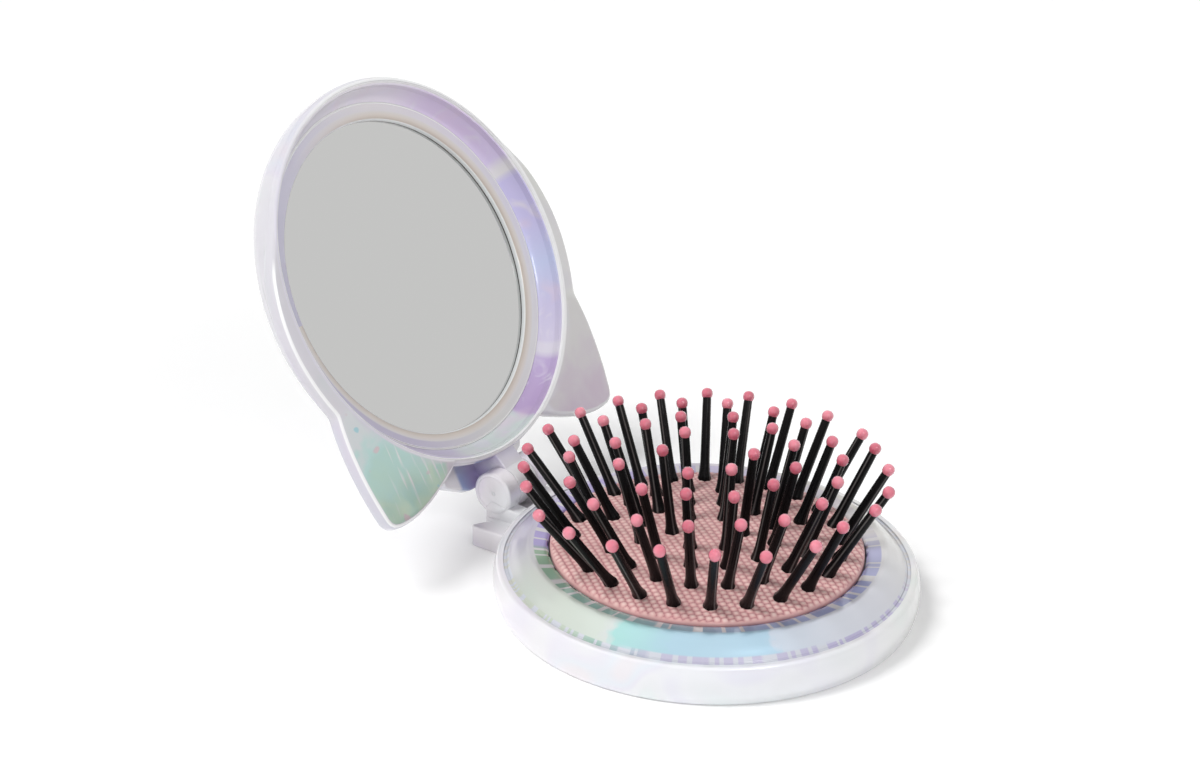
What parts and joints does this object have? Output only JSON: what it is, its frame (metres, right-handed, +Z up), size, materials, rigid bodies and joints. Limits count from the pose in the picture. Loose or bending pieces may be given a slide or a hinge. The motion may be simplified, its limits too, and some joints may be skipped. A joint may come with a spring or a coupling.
{
  "type": "folding hairbrush with mirror",
  "caption": "Round folding pocket hairbrush: a base with a rising cushion of ball-tipped bristles, and a hinged lid with ear-shaped corners that holds a round mirror.",
  "frame": {"origin": "centre of the finger hole in the base's underside, in the plane that the base rests on", "axes": "+Z up out of the brush pad, +Y from the pad back to the hinge, X along the hinge axis"},
  "size_m": [0.0878, 0.1382, 0.0898],
  "materials": {
    "pearl_plastic": "pearlescent, polished",
    "lilac_plastic": "pearlescent, polished",
    "cream_plastic": "pearlescent, polished",
    "white_plastic": "moulded",
    "pink_plastic": "polished",
    "black_nylon": "satin",
    "pink_rubber": "woven texture",
    "soft_foam": "open cell",
    "pin_steel": "turned",
    "mirror_silver": "silvered glass",
    "tape_grey": "adhesive foam tape"
  },
  "bodies": {
    "base": {"base_shell": "pearl_plastic", "base_bezel": "lilac_plastic", "hinge_pin": "pin_steel"},
    "pad": {"pad_carrier": "white_plastic", "push_button": "pink_plastic", "cushion_pad": "pink_rubber", "cushion_foam": "soft_foam", "bristles_ring_1": "black_nylon", "bristles_ring_2": "black_nylon", "bristles_ring_3": "black_nylon", "bristles_ring_4": "black_nylon", "ball_tips_ring_1": "pink_plastic", "ball_tips_ring_2": "pink_plastic", "ball_tips_ring_3": "pink_plastic", "ball_tips_ring_4": "pink_plastic"},
    "lid": {"lid_shell": "pearl_plastic", "lid_liner": "lilac_plastic", "mirror_ring": "cream_plastic", "mirror_glass": "mirror_silver", "mirror_tape": "tape_grey"}
  },
  "joints": [
    {"name": "lid_hinge", "type": "hinge", "parent": "base", "child": "lid", "pos_m": [0, 0.0481, 0.0103], "axis": [1, 0, 0], "range_deg": [0, 118], "deforming": ["bristles_ring_1", "bristles_ring_2", "bristles_ring_3", "bristles_ring_4", "ball_tips_ring_1", "ball_tips_ring_2", "ball_tips_ring_3", "ball_tips_ring_4"]},
    {"name": "pad_slide", "type": "slide", "parent": "base", "child": "pad", "axis": [0, 0, 1], "range_m": [-0.006, 0]}
  ]
}
